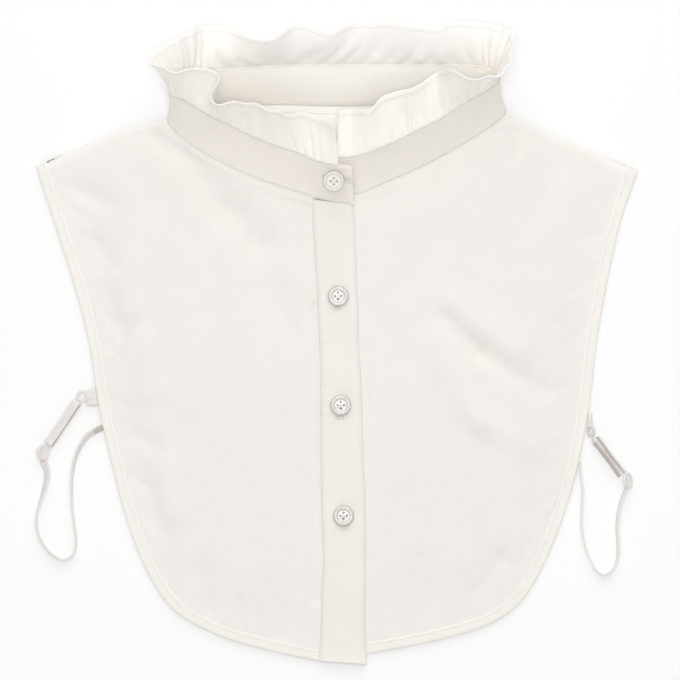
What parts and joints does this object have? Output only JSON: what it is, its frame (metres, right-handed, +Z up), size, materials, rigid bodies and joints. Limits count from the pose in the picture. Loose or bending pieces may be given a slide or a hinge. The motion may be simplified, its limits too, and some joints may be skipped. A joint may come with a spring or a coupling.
{
  "type": "detachable ruffled collar",
  "caption": "Sleeveless half blouse with a buttoned front, a stand collar with a gathered ruffle and elastic side straps, laid flat. It is worn under a jumper to show only its collar.",
  "frame": {"origin": "middle of the garment's box, without the straps' loose parts, on the surface that it lies on", "axes": "+X to the wearer's left, which is the picture's right, +Y from hem to neck, +Z up from the surface"},
  "size_m": [0.3313, 0.3528, 0.042],
  "materials": {
    "cloth": "matt plain weave, off-white",
    "button": "translucent shirt button, semi-gloss",
    "elastic": "soft matt elastic, pale greyish pink",
    "clear_plastic": "smooth, slightly translucent"
  },
  "bodies": {
    "root": {"back_panel": "cloth", "front_left": "cloth", "front_right": "cloth", "placket": "cloth", "collar_band": "cloth", "ruffle": "cloth", "binding_front_left": "cloth", "binding_front_right": "cloth", "binding_back": "cloth", "button_1": "button", "button_2": "button", "button_3": "button", "button_4": "button", "strap_tab_left": "elastic", "strap_doubled_left": "elastic", "strap_loop_left": "elastic", "strap_ring_left": "clear_plastic", "strap_slider_left": "clear_plastic", "strap_tab_right": "elastic", "strap_doubled_right": "elastic", "strap_loop_right": "elastic", "strap_ring_right": "clear_plastic", "strap_slider_right": "clear_plastic"}
  },
  "joints": []
}
